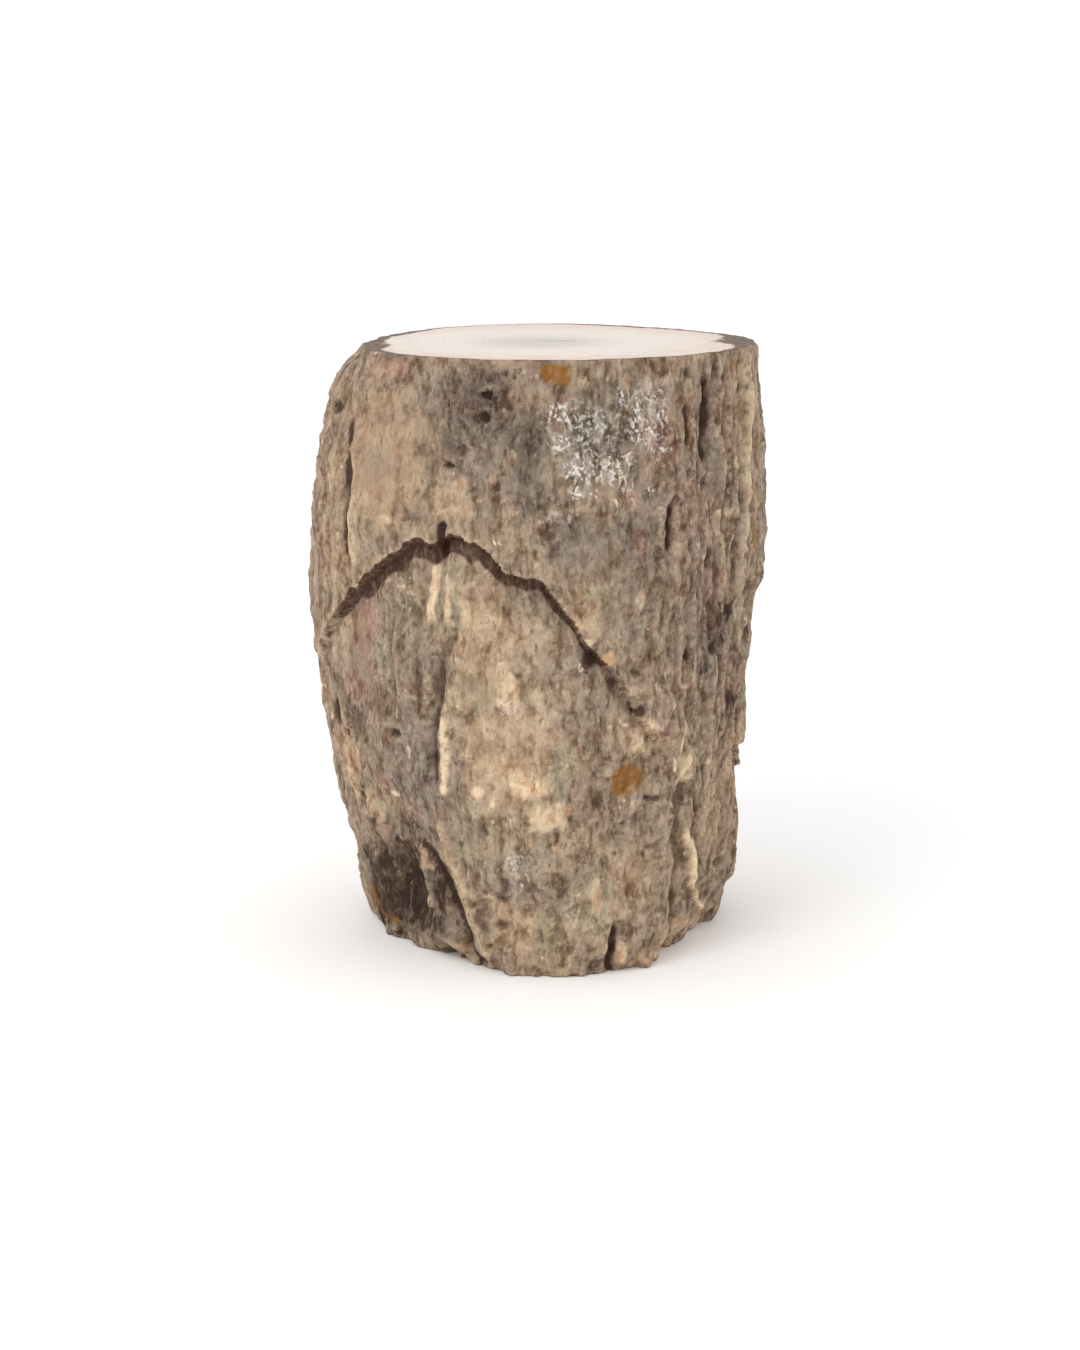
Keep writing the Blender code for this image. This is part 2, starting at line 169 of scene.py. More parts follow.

# Soft ovals on the side: degrees, height, half width, half height and strength. The first three kinds change
# how rough the stone is, and the others colour it. dim and lit are painted shade and painted light, also the
# stone's tone.
patches = {
    "fluted": ((330, 0.62, 60, 180, 1), (202, 0.72, 30, 80, 0.5), (30, 0.45, 85, 150, 0.8),
        (110, 0.3, 80, 110, 0.7), (160, 0.7, 60, 90, 0.7), (338, 0.12, 45, 50, 0.6),
        (226, 0.52, 36, 40, 0.35)),
    "rugged": ((300, 0.3, 50, 60, 0.8), (330, 0.2, 50, 90, 1), (270, 0.06, 80, 30, 0.7),
        (215, 0.15, 50, 50, 1), (345, 0.5, 40, 70, 0.8), (205, 0.35, 25, 50, 0.6), (60, 0.15, 90, 70, 0.9),
        (150, 0.4, 70, 100, 0.8), (10, 0.25, 40, 70, 0.8)),
    "calm": ((228, 0.83, 55, 55, 1), (258, 0.44, 30, 40, 0.5), (288, 0.66, 40, 30, 0.5),
        (213, 0.54, 18, 30, 0.8)),
    # At the foot, below a height of 0.04, the warm ovals are also painted light against the shadow there.
    "warm": ((226, 0.83, 44, 58, 0.75), (205, 0.72, 30, 90, 0.7), (256, 0.52, 32, 60, 0.9),
        (262, 0.38, 40, 45, 1), (258, 0.83, 9, 16, 0.8), (248, 0.77, 24, 14, 0.8), (283, 0.6, 14, 20, 0.8),
        (197, 0.31, 16, 40, 0.9), (330, 0.22, 40, 36, 0.8), (296, 0.16, 30, 36, 0.6),
        (345, 0.32, 34, 36, 0.7), (207, 0.235, 26, 14, 0.8), (333, 0.93, 24, 26, 0.6),
        (298, 0.385, 18, 14, 0.8), (266, 0.085, 36, 26, 0.8), (318, 0.03, 36, 16, 1),
        (340, 0.035, 36, 18, 1), (222, 0.185, 24, 8, 0.8), (302, 0.015, 30, 10, 0.8),
        (243, 0.01, 22, 6, 0.7), (262, 0.23, 26, 20, 0.6), (280, 0.23, 24, 24, 0.5), (50, 0.2, 50, 50, 0.9),
        (120, 0.6, 60, 60, 0.8), (175, 0.45, 45, 60, 0.8), (15, 0.85, 40, 45, 0.7),
        (88, 0.25, 40, 50, 0.6)),
    "grey": ((284, 0.87, 34, 32, 0.8), (256, 0.89, 40, 44, 1), (243, 0.94, 16, 20, 0.8),
        (268, 0.84, 18, 50, 1), (288, 0.92, 34, 26, 0.75), (300, 0.76, 40, 60, 0.85),
        (280, 0.72, 34, 24, 0.7), (318, 0.68, 30, 50, 0.8), (328, 0.52, 40, 45, 0.9),
        (232, 0.39, 22, 36, 0.6), (226, 0.56, 26, 36, 0.6), (276, 0.12, 16, 18, 0.6),
        (283, 0.515, 14, 16, 0.8), (294, 0.6, 30, 30, 0.5), (306, 0.56, 16, 30, 0.6),
        (285, 0.44, 14, 20, 0.5), (346, 0.5, 30, 30, 0.6), (80, 0.78, 60, 60, 0.9),
        (140, 0.25, 60, 50, 0.8), (20, 0.6, 40, 45, 0.7), (175, 0.75, 30, 50, 0.6),
        (100, 0.5, 30, 40, 0.7)),
    "mauve": ((322, 0.86, 24, 60, 0.7), (309, 0.8, 16, 30, 0.5), (241, 0.345, 9, 50, 1),
        (226, 0.825, 26, 16, 0.45), (338, 0.71, 16, 26, 0.8), (235, 0.32, 18, 46, 1),
        (225, 0.31, 20, 24, 0.8), (246, 0.245, 12, 24, 0.7), (266, 0.17, 20, 24, 0.8),
        (304, 0.415, 9, 12, 0.9), (331, 0.8, 16, 40, 0.6), (247, 0.075, 10, 16, 0.6),
        (300, 0.92, 16, 16, 0.5), (316, 0.6, 20, 30, 0.5), (230, 0.225, 18, 10, 0.8),
        (212, 0.5, 20, 16, 0.5), (286, 0.7, 12, 10, 0.4), (84, 0.66, 24, 40, 0.8), (142, 0.3, 30, 30, 0.7),
        (24, 0.34, 16, 30, 0.7)),
    "rose": ((329, 0.88, 14, 50, 0.7), (314, 0.72, 44, 60, 0.55), (326, 0.6, 30, 40, 0.6),
        (334, 0.48, 18, 30, 0.8), (302, 0.86, 30, 34, 0.55), (250, 0.93, 26, 14, 0.5),
        (314, 0.91, 24, 20, 0.7), (217, 0.285, 14, 10, 0.8), (215, 0.545, 24, 26, 1),
        (207, 0.44, 22, 18, 0.8), (225, 0.975, 30, 8, 0.9), (252, 0.86, 16, 12, 0.5),
        (294, 0.78, 12, 12, 0.7), (297, 0.71, 9, 14, 0.6), (210, 0.198, 8, 7, 1), (216, 0.172, 7, 8, 1),
        (222, 0.145, 6, 9, 1), (227, 0.118, 6, 8, 1), (231, 0.094, 6, 6, 0.9), (226, 0.035, 20, 8, 0.7),
        (203, 0.15, 6, 10, 0.8), (209, 0.108, 4, 12, 0.7), (232, 0.175, 10, 8, 1), (305, 0.41, 10, 14, 0.7),
        (256, 0.625, 12, 22, 0.5), (322, 0.92, 8, 22, 0.7), (318, 0.62, 12, 10, 0.6),
        (276, 0.275, 8, 6, 0.6), (230, 0.26, 20, 10, 0.5), (335, 0.88, 12, 16, 0.5), (90, 0.4, 30, 30, 0.8),
        (155, 0.6, 26, 30, 0.7), (40, 0.5, 20, 20, 0.6)),
    "olive": ((232, 0.6, 20, 20, 0.8), (246, 0.61, 12, 34, 0.8), (254, 0.47, 20, 24, 0.6),
        (262, 0.21, 38, 26, 0.55), (285, 0.13, 18, 30, 0.8), (222, 0.52, 18, 16, 0.8),
        (242, 0.42, 10, 20, 0.8), (250, 0.275, 20, 14, 0.6), (204, 0.745, 14, 20, 0.5),
        (226, 0.5, 9, 26, 0.6), (232, 0.58, 12, 14, 0.5), (214, 0.235, 22, 10, 0.6), (276, 0.35, 11, 22, 1),
        (291, 0.83, 10, 9, 0.8), (286, 0.63, 20, 12, 0.6), (248, 0.2, 8, 30, 0.6), (318, 0.36, 12, 30, 0.6),
        (272, 0.075, 16, 26, 0.6), (294, 0.24, 14, 16, 0.4), (305, 0.66, 12, 16, 0.4),
        (60, 0.62, 20, 30, 0.6), (128, 0.15, 26, 26, 0.6)),
    "cream": ((254.5, 0.305, 6, 5, 1), (268, 0.32, 18, 9, 1), (272, 0.275, 20, 12, 0.85),
        (263, 0.345, 24, 14, 0.55), (263, 0.485, 10, 12, 0.7), (262, 0.455, 10, 6, 0.8),
        (252, 0.6, 12, 16, 0.4), (213.5, 0.705, 4, 7, 0.9), (229, 0.74, 8, 6, 0.6),
        (250, 0.805, 10, 6, 0.6), (231, 0.63, 5.5, 2, 0.9), (206, 0.555, 3.6, 4, 0.8),
        (280, 0.585, 6, 8, 0.8), (282, 0.555, 6, 3.2, 0.9), (287.8, 0.523, 5, 8.5, 1),
        (296.5, 0.615, 5, 9, 0.7), (294, 0.468, 3.6, 3.6, 0.8), (300, 0.41, 10, 6, 0.6),
        (297, 0.375, 13, 5, 0.8), (285.5, 0.135, 6, 20, 0.8), (293, 0.03, 6, 12, 0.8),
        (274.5, 0.225, 4.6, 3.6, 0.9), (222, 0.275, 7.5, 2.6, 0.9), (197, 0.285, 9, 6, 0.7),
        (235, 0.16, 4, 3.2, 0.9), (306, 0.965, 10, 5, 0.6), (293, 0.96, 3.6, 10, 0.6),
        (314.5, 0.775, 4, 5, 0.7), (308, 0.7, 3, 2.4, 0.9), (332, 0.735, 14, 6, 0.6),
        (296, 0.285, 6, 4.4, 0.6), (308, 0.275, 4, 5, 0.6), (342, 0.88, 6, 30, 0.5),
        (268, 0.09, 4, 14, 0.5), (264, 0.205, 6, 10, 0.4), (238, 0.43, 5, 5, 0.5), (60, 0.3, 14, 10, 0.9),
        (130, 0.48, 22, 14, 0.9), (95, 0.12, 14, 12, 0.8), (20, 0.45, 6, 18, 0.8), (170, 0.3, 8, 16, 0.8),
        (74, 0.9, 12, 8, 0.7)),
    "ochre": ((294, 0.326, 17.5, 12.5, 0.85), (275, 0.98, 16.5, 8, 0.85), (194, 0.048, 26, 13, 1),
        (333, 0.975, 18, 6, 0.6), (204, 0.035, 12, 6, 0.7), (246.5, 0.035, 6, 7, 0.5),
        (263, 0.85, 4, 12, 0.4), (193, 0.32, 6, 12, 0.6), (279.5, 0.63, 6, 5, 0.5), (345, 0.69, 8, 14, 0.6),
        (344, 0.39, 12, 6, 0.5), (42, 0.42, 14, 12, 0.9), (118, 0.8, 10, 14, 0.8), (150, 0.42, 8, 10, 0.8)),
    "dim": ((212, 0.1, 75, 40, 1), (232, 0.06, 34, 20, 0.8), (198, 0.055, 50, 34, 1),
        (252, 0.925, 30, 36, 0.9), (328, 0.86, 22, 60, 0.8), (316, 0.87, 22, 40, 0.6),
        (327, 0.17, 20, 30, 0.5), (224, 0.225, 30, 18, 0.9), (268, 0.975, 40, 12, 0.6),
        (248, 0.885, 30, 30, 0.5), (287, 0.885, 36, 20, 0.6), (305, 0.885, 24, 24, 0.5),
        (320, 0.925, 16, 26, 0.8), (268, 0.84, 20, 24, 0.6), (315, 0.83, 30, 24, 0.6),
        (211, 0.75, 18, 40, 0.9), (310, 0.7, 20, 40, 0.6), (231, 0.62, 14, 24, 0.8),
        (241, 0.67, 14, 14, 0.7), (259, 0.735, 14, 12, 0.4), (236, 0.5, 16, 34, 0.8),
        (240, 0.32, 20, 30, 0.8), (317, 0.59, 30, 30, 0.5), (328, 0.5, 26, 30, 0.6),
        (322, 0.37, 16, 24, 0.5), (320, 0.22, 14, 26, 0.9), (300, 0.235, 20, 18, 0.5),
        (226, 0.285, 30, 12, 0.5), (203, 0.88, 18, 22, 0.6), (333, 0.62, 12, 18, 0.7),
        (328, 0.55, 26, 24, 0.8), (246, 0.9, 18, 30, 0.7), (218, 0.41, 50, 55, 0.5),
        (335, 0.21, 34, 60, 0.6), (225, 0.86, 55, 60, 0.4), (252, 0.23, 12, 14, 0.5),
        (60, 0.55, 50, 50, 0.7), (150, 0.8, 50, 40, 0.6), (105, 0.15, 50, 40, 0.7)),
    "lit": ((322, 0.02, 75, 14, 1), (264, 0.34, 36, 60, 0.65), (265, 0.13, 40, 40, 0.4),
        (240, 0.022, 24, 10, 0.8), (220, 0.68, 12, 14, 0.8), (264, 0.575, 30, 20, 0.7),
        (275, 0.475, 30, 20, 0.7), (245, 0.42, 28, 16, 0.6), (294, 0.395, 34, 24, 0.7),
        (310, 0.325, 14, 16, 0.9), (280, 0.11, 18, 26, 1), (200, 0.525, 18, 20, 0.8),
        (341, 0.84, 16, 36, 1), (341, 0.555, 14, 36, 1), (341, 0.325, 14, 20, 1), (250, 0.17, 22, 18, 0.6),
        (270, 0.175, 22, 14, 0.5), (220, 0.725, 26, 14, 0.5), (231, 0.87, 22, 30, 0.5),
        (270, 0.72, 22, 12, 0.6), (325, 0.725, 22, 14, 0.6), (290, 0.055, 34, 16, 0.6),
        (345, 0.07, 26, 14, 0.7), (222, 0.325, 14, 12, 0.7), (261, 0.275, 16, 14, 0.6),
        (311, 0.15, 16, 30, 0.6), (333, 0.96, 30, 16, 0.5), (20, 0.7, 40, 40, 0.7), (120, 0.5, 50, 40, 0.7),
        (85, 0.9, 50, 24, 0.6)),
    "dark": ((196, 0.11, 22, 22, 0.9), (220, 0.115, 34, 24, 1), (210, 0.085, 36, 24, 1),
        (199, 0.07, 26, 28, 1), (222, 0.07, 30, 18, 1), (207, 0.13, 22, 18, 0.9), (238, 0.125, 12, 18, 0.9),
        (212, 0.045, 30, 12, 0.7), (222, 0.178, 26, 9, 0.9), (232, 0.06, 26, 12, 0.7),
        (325, 0.57, 22, 20, 0.8), (336, 0.41, 18, 22, 0.8), (281, 0.885, 10, 18, 0.5),
        (320, 0.925, 8, 22, 0.6), (258, 0.975, 22, 8, 0.6), (206, 0.385, 20, 20, 0.6),
        (222, 0.43, 14, 14, 0.5), (254, 0.925, 22, 18, 0.55), (267, 0.875, 12, 30, 0.4),
        (247, 0.9, 10, 24, 0.4), (329, 0.575, 20, 8, 0.8), (326, 0.53, 14, 10, 0.7),
        (340, 0.485, 14, 5, 0.6), (200, 0.905, 10, 6, 0.6), (226, 0.385, 9, 5, 0.6),
        (290, 0.475, 6, 8, 0.6), (283, 0.4, 5, 10, 0.5), (242, 0.11, 6, 8, 0.8), (28, 0.7, 10, 30, 0.6),
        (104, 0.3, 14, 40, 0.6), (172, 0.35, 12, 40, 0.6), (70, 0.1, 30, 10, 0.7)),
    "crystal": ((276, 0.915, 10, 9, 1), (276, 0.87, 11, 8, 0.9), (281, 0.83, 14, 13, 1),
        (297, 0.915, 10, 12, 1), (297, 0.88, 16, 8, 1), (290, 0.85, 16, 6, 0.7), (280, 0.795, 7, 6, 1),
        (283, 0.88, 30, 30, 0.55), (299, 0.905, 24, 26, 0.55), (288, 0.83, 20, 14, 0.7),
        (301, 0.945, 12, 12, 0.6), (302, 0.855, 9, 5, 0.7), (303, 0.915, 6, 5, 1), (293, 0.8, 8, 5, 0.6),
        (299, 0.79, 5, 4, 0.7), (284, 0.79, 6, 4, 0.7), (292, 0.945, 6, 8, 0.8), (276, 0.755, 18, 8, 0.4),
        (262, 0.45, 10, 8, 0.6), (264, 0.195, 10, 14, 0.5), (279, 0.11, 10, 14, 0.4),
        (100, 0.88, 26, 20, 1), (36, 0.3, 18, 18, 0.8), (155, 0.2, 16, 20, 0.7)),
}


# 0 below low and 1 above high. Between, it is three times the square of the way along less twice its cube.
def smooth(low, high, value):
    t = np.clip((value - low) / (high - low), 0.0, 1.0)
    return t * t * (3.0 - 2.0 * t)


# How far one direction is round from another, from -180 to 180 degrees.
def degreesBetween(a, b):
    return (a - b + 180.0) % 360.0 - 180.0


# Smooth closed curve through equally spaced values: each stretch is a cubic that leaves one value and
# reaches the next with the slopes of their neighbours.
def around(values, turn):
    count = values.shape[-1]
    place = np.mod(turn, 1.0) * count
    first = np.floor(place).astype(int)
    t = place - first
    before, start, end, after = (values[..., (first + k) % count] for k in (-1, 0, 1, 2))
    bend = 2 * before - 5 * start + 4 * end - after + t * (3 * (start - end) + after - before)
    return start + 0.5 * t * (end - before + t * bend)


# The same kind of curve up the log, through rows of values at given heights.
def upward(rows, rowHeights, heights):
    slopes = np.gradient(rows, rowHeights, axis=0)
    low = np.clip(np.searchsorted(rowHeights, heights, side="right") - 1, 0, len(rowHeights) - 2)
    gap = (rowHeights[low + 1] - rowHeights[low])[:, None]
    t = (heights - rowHeights[low])[:, None] / gap
    ends = (2 * t**3 - 3 * t**2 + 1) * rows[low] + (3 * t**2 - 2 * t**3) * rows[low + 1]
    return ends + gap * ((t**3 - 2 * t**2 + t) * slopes[low] + (t**3 - t**2) * slopes[low + 1])


dice = np.random.default_rng(31)
shuffled = dice.permutation(256)
leanings = dice.normal(size=(256, 3))
leanings /= np.linalg.norm(leanings, axis=1, keepdims=True)
scatter = dice.uniform(size=(256, 4))


# A number from 0 to 255 for each whole-number place, shuffled once for each axis.
def pick(cell):
    index = shuffled[cell[..., 0] & 255]
    index = shuffled[(index + cell[..., 1]) & 255]
    return shuffled[(index + cell[..., 2]) & 255]


# Smooth random field from about -1 to 1: every whole-number corner leans in a random direction, and a place
# takes the blend of its eight corners' slopes.
def waves(place):
    cell = np.floor(place).astype(int)
    t = place - cell
    ease = t**3 * (t * (t * 6 - 15) + 10)
    total = 0.0
    for corner in itertools.product((0, 1), repeat=3):
        corner = np.array(corner)
        share = np.prod(np.where(corner, ease, 1.0 - ease), axis=-1)
        total = total + share * np.sum(leanings[pick(cell + corner)] * (t - corner), axis=-1)
    return 1.5 * total


# Waves added at half the size and half the strength each time.
def fractal(place, octaves):
    total, strength = 0.0, 1.0
    for octave in range(octaves):
        total = total + strength * waves(place * 2.0**octave + 17.3 * octave)
        strength *= 0.5
    return total


# One random point in each unit cube: the distances to the nearest and the next nearest, and a random number
# that belongs to the nearest.
def cells(place):
    base = np.floor(place).astype(int)
    near = np.full(place.shape[:-1], 9.0)
    following = near.copy()
    number = np.zeros(place.shape[:-1])
    for corner in itertools.product((-1, 0, 1), repeat=3):
        cell = base + np.array(corner)
        drawn = scatter[pick(cell)]
        far = np.linalg.norm(cell + drawn[..., :3] - place, axis=-1)
        closer = far < near
        following = np.where(closer, near, np.minimum(following, far))
        number = np.where(closer, drawn[..., 3], number)
        near = np.minimum(near, far)
    return near, following, number


# Each value less the average of its neighbourhood, so hollows are below 0 and crests above.
def standsOut(field, rounds):
    soft = field
    for _ in range(rounds):
        padded = np.pad(soft, ((1, 1), (0, 0)), mode="edge")
        soft = (soft * 2 + padded[:-2] + padded[2:] + np.roll(soft, 1, 1) + np.roll(soft, -1, 1)) / 6.0
    return field - soft


height = cadHigh.z - cadLow.z
fullRadius = height * log["radiusShare"]
degrees = np.arange(log["facesRound"]) * 360.0 / log["facesRound"]
edge = log["arris"] / height
inner = np.clip(np.linspace(0.0, 1.0, log["facesUp"] - 1), edge, 1.0 - edge)
heights = np.concatenate([[0.0], inner, [1.0]])
up = np.repeat(heights[:, None], log["facesRound"], 1)
stations = np.array(sorted(girth))
outlines = around(np.array([girth[station] for station in stations]), degrees / 360.0)
radii = fullRadius * upward(outlines, stations, heights)


# Level points at these radii, with the middle of their box at zero.
def centred(radii):
    turn = np.radians(degrees)
    flat = np.stack([radii * np.cos(turn), radii * np.sin(turn)], -1)
    corners = flat.reshape(-1, 2)
    return flat - (corners.min(0) + corners.max(0)) / 2.0


# The girth is measured from its own axis, and features by their direction from the middle of the log's box.
flat = centred(radii)
across = np.degrees(np.arctan2(flat[..., 1], flat[..., 0])) % 360.0
onSide = np.concatenate([flat, up[..., None] * height], -1)


# The side's points counted in details of these sizes, across and up the log, and moved along by the shift.
def scaled(acrossSize, upSize, shift=0.0):
    return onSide / np.array([acrossSize, acrossSize, upSize]) + shift


# The same for one of the tables that hold both sizes.
def detail(size, shift=0.0):
    return scaled(size["across"], size["up"], shift)


# How far every point is to the side of a mark and above it, each over the mark's half size.
def fromMark(at, level, wide, tall):
    aside = np.radians(degreesBetween(across, at)) * fullRadius * 1000 / wide
    return aside, (up - level) * height * 1000 / tall


patchEdge = {"across": 0.009, "up": 0.014, "ragged": 0.40, "solid": 0.40, "gone": 1.35}


# An oval is full inside its solid share and fades to its gone share, and the edge wanders with the waves.
def patch(name):
    ragged = patchEdge["ragged"] * fractal(detail(patchEdge, 5.0 * len(name)), 3)
    total = np.zeros_like(across)
    for at, level, wide, tall, strength in patches[name]:
        far = np.hypot(*fromMark(at, level, wide, tall)) + ragged
        total = np.maximum(total, strength * (1.0 - smooth(patchEdge["solid"], patchEdge["gone"], far)))
    return total


brokenLine = {
    "drop": 0.0022,  # height over which the stone falls back
    "wander": 0.006,
    "fadeIn": 24.0,  # degrees over which its start fades
    "fadeOut": 18.0,
    "thin": 0.0045,  # a band thinner than this is paler
}


# Over its drop below the line a ledge takes its step off the radius, and gives it back as e to the power of
# minus the depth over its reach. It fades at both ends. The second result is the dark band under the broken
# edge: painted shadow under the lip, and dark patina.
def ledge(line, step, reach, stain, drop=brokenLine["drop"]):
    at, level, band = np.array(line).T
    middle = at.mean()
    turned = middle + degreesBetween(across, middle)
    jagged = brokenLine["wander"] * waves(scaled(0.020, 0.3))
    jagged += 0.5 * brokenLine["wander"] * waves(scaled(0.007, 0.05, 3.0))
    below = (np.interp(turned, at, level) - up) * height + jagged
    starts = smooth(at[0], at[0] + brokenLine["fadeIn"], turned)
    ends = 1.0 - smooth(at[-1] - brokenLine["fadeOut"], at[-1], turned)
    cut = -step * starts * ends * smooth(0.0, drop, below) * np.exp(-np.maximum(below, 0.0) / reach)
    bandDepth = np.interp(turned, at, band) * (1.2 + 0.5 * waves(onSide / 0.016 + 9.0)) + 0.0001
    darkAndShade = smooth(-0.0022, 0.0006, below) * (1.0 - smooth(0.50, 1.25, below / bandDepth))
    return cut, stain * darkAndShade * smooth(0.0, brokenLine["thin"], bandDepth)


winding = {
    "sway": 0.9,  # degrees that a furrow wanders to each side
    "twitch": 0.4,  # degrees that it wavers on the way
    "uneven": 0.4,  # share by which its width varies
    "past": 0.02,  # height past its ends where it has died out
    "within": 0.01,  # height inside its ends where it is whole again
}


# Across its winding path a furrow is a bell of about the given width, and it dies out just past its ends.
# The second result is its painted shade, and below zero how pale it is.
def furrow(path, width, depth, stain):
    at, level = np.array(path).T
    middle = np.interp(up, level, at) + winding["sway"] * waves(scaled(0.06, 0.020))
    middle = middle + winding["twitch"] * waves(scaled(0.05, 0.0070, 4.0))
    uneven = 1.0 + winding["uneven"] * waves(scaled(0.009, 0.022, 6.0))
    aside, _ = fromMark(middle, 0.0, width * uneven, 1.0)
    starts = smooth(level.min() - winding["past"], level.min() + winding["within"], up)
    ends = 1.0 - smooth(level.max() - winding["within"], level.max() + winding["past"], up)
    bell = starts * ends * np.exp(-(aside**2))
    return -depth / 1000 * bell, stain * smooth(0.25, 0.85, bell * (1.0 + 0.5 * waves(onSide / 0.006)))


# A swelling is a bell both across and up the log.
def swelling(at, level, wide, tall, rise):
    aside, above = fromMark(at, level, wide, tall)
    return rise / 1000 * np.exp(-(aside**2) - above**2)


# A pit is a flat-bottomed bell with a ragged edge, and its second result is the painted shade inside it.
def pit(at, level, wide, tall, depth, stain):
    far = np.hypot(*fromMark(at, level, wide, tall))
    inside = 1.0 - smooth(0.5, 1.5, far + 0.35 * waves(onSide / 0.006))
    return -depth / 1000 * inside, stain * inside


# A field turned into steps, as where thin layers have split away one from the next.
def stepped(field, levels, sharpness=0.22):
    risen = field * levels
    floor = np.floor(risen)
    return (floor + smooth(1.0 - sharpness, 1.0, risen - floor)) / levels


# The broken surface is a sum: low lumps, plates that step down, less the valleys between flutes, chips that
# each stand at their own level with cracks between, fine grain and grit, less the bites out of the foot.
def brokenStone(fluted, calm, rugged):
    rough = (1.0 - 0.75 * calm) * (0.7 + 0.8 * rugged)
    size = relief["lumps"]
    total = size["rise"] * fractal(detail(size, 4.0), 3)

    size = relief["plates"]
    bent = detail(size, 11.0) + 0.35 * waves(detail(size, 2.0) * 2.3)[..., None]
    plates = stepped(0.5 * fractal(bent, 3), size["levels"])
    total += size["rise"] * (rough * (1.0 - 0.5 * fluted)) * plates

    size = relief["flutes"]
    bent = detail(size, 7.0) + 0.5 * waves(onSide / 0.03)[..., None]
    valleys = (1.0 - np.abs(np.clip(waves(bent) * 1.6, -1.0, 1.0))) ** 2
    total -= size["rise"] * (0.05 + 0.95 * fluted) * valleys

    size = relief["chips"]
    bent = detail(size, 3.0) + 0.5 * waves(onSide / 0.014)[..., None]
    near, following, number = cells(bent)
    total += size["rise"] * rough * (number - 0.5 + 0.4 * (0.5 - near))
    total -= size["crack"] * rough * (1.0 - smooth(0.02, 0.16, following - near))

    size = relief["grain"]
    total += size["rise"] * fractal(detail(size, 1.0) + 0.4 * waves(onSide / 0.02)[..., None], 2)
    size = relief["grit"]
    total += size["rise"] * rough * fractal(detail(size, 8.0), 2)

    size = relief["brokenFoot"]
    low = 1.0 - smooth(0.0, size["height"], up * height)
    total -= size["rise"] * low * smooth(-0.1, 0.6, fractal(detail(size, 6.0), 2))
    return total


masks = {name: patch(name) for name in patches}
edgeShade, stained, paled = np.zeros((3, *radii.shape))
for one in ledges:
    cut, darkAndShade = ledge(**one)
    radii = radii + cut
    edgeShade = np.maximum(edgeShade, darkAndShade)
for one in furrows:
    cut, stain = furrow(*one)
    radii = radii + cut
    stained = np.maximum(stained, stain)
    paled = np.maximum(paled, -stain)
for one in swellings:
    radii = radii + swelling(*one)
for one in pits:
    cut, stain = pit(*one)
    radii = radii + cut
    stained = np.maximum(stained, stain)
radii = radii + brokenStone(masks.pop("fluted"), masks["calm"], masks.pop("rugged"))
radii[0] = radii[1] - log["arris"]
radii[-1] = radii[-2] - log["arris"]

# How far the stone stands out of its close neighbourhood, and sinks below its wide one, over a full amount.
fullCrest, fullDeep = 0.0011, 0.0045
standing = standsOut(radii, 4) / fullCrest
masks.update(edgeShade=edgeShade, stained=stained, paled=paled)
# hollow and deep mark where the side's material paints shade; crest marks where it lightens worn crests.
masks.update(hollow=np.clip(-standing, 0.0, 1.0), crest=np.clip(standing, 0.0, 1.0))
masks["deep"] = np.clip(-standsOut(radii, 60) / fullDeep, 0.0, 1.0) * smooth(0.01, 0.06, up)
print("side worked out:", radii.shape, "radius", round(radii.min(), 4), "to", round(radii.max(), 4))


# The sawn faces: their rings as shares of the rim, and the width of the brown band inside the rim, with the
# places where it is wider as (degrees, spread, extra width).
caps = {
    "rings": (0.985, 0.95, 0.90, 0.82, 0.66, 0.42, 0.20),
    "barkWidth": 0.0022,
    "barkLobes": ((0, 17, 0.026), (198, 20, 0.020), (150, 26, 0.010), (60, 30, 0.008)),
}


# The side's rings, then each sawn face's rings drawn in towards its middle and closed by one point, all set
# where the frame's box is.
def logPoints():
    side = np.concatenate([centred(radii), up[..., None] * height], -1)
    parts = [side.reshape(-1, 3)]
    for rim, level in ((side[0], 0.0), (side[-1], height)):
        for share in caps["rings"]:
            parts.append(np.concatenate([rim[:, :2] * share, np.full((len(rim), 1), level)], -1))
        parts.append(np.array([[0.0, 0.0, level]]))
    middle = np.array([cadLow.x + cadHigh.x, cadLow.y + cadHigh.y, 2 * cadLow.z]) / 2
    return np.concatenate(parts) + middle


# Quads between each ring and the next, and triangles to each middle point, all looking out. The results are
# the quads, the triangles of the base and of the top, and how many quads the side has.
def logFaces():
    columns, rows = log["facesRound"], log["facesUp"] + 1
    ringFaces = []
    column = np.arange(columns)
    nextColumn = (column + 1) % columns

    def band(lower, upper):
        return np.stack([lower + column, lower + nextColumn, upper + nextColumn, upper + column], -1)

    for row in range(rows - 1):
        ringFaces.append(band(row * columns, (row + 1) * columns))
    sideCount = len(ringFaces) * columns
    perCap = len(caps["rings"]) * columns + 1
    capStart = rows * columns
    tips = []
    for number, rim in enumerate((0, (rows - 1) * columns)):
        start = capStart + number * perCap
        starts = [rim] + [start + k * columns for k in range(len(caps["rings"]))]
        for outer, innerRing in zip(starts, starts[1:]):
            ringFaces.append(band(innerRing, outer) if number == 0 else band(outer, innerRing))
        last, tip = starts[-1], start + perCap - 1
        fan = (last + nextColumn, last + column) if number == 0 else (last + column, last + nextColumn)
        tips.append(np.stack([*fan, np.full(columns, tip)], -1))
    return np.concatenate(ringFaces), tips, sideCount


points = logPoints()
quads, tips, sideCount = logFaces()
capQuads = (len(quads) - sideCount) // 2

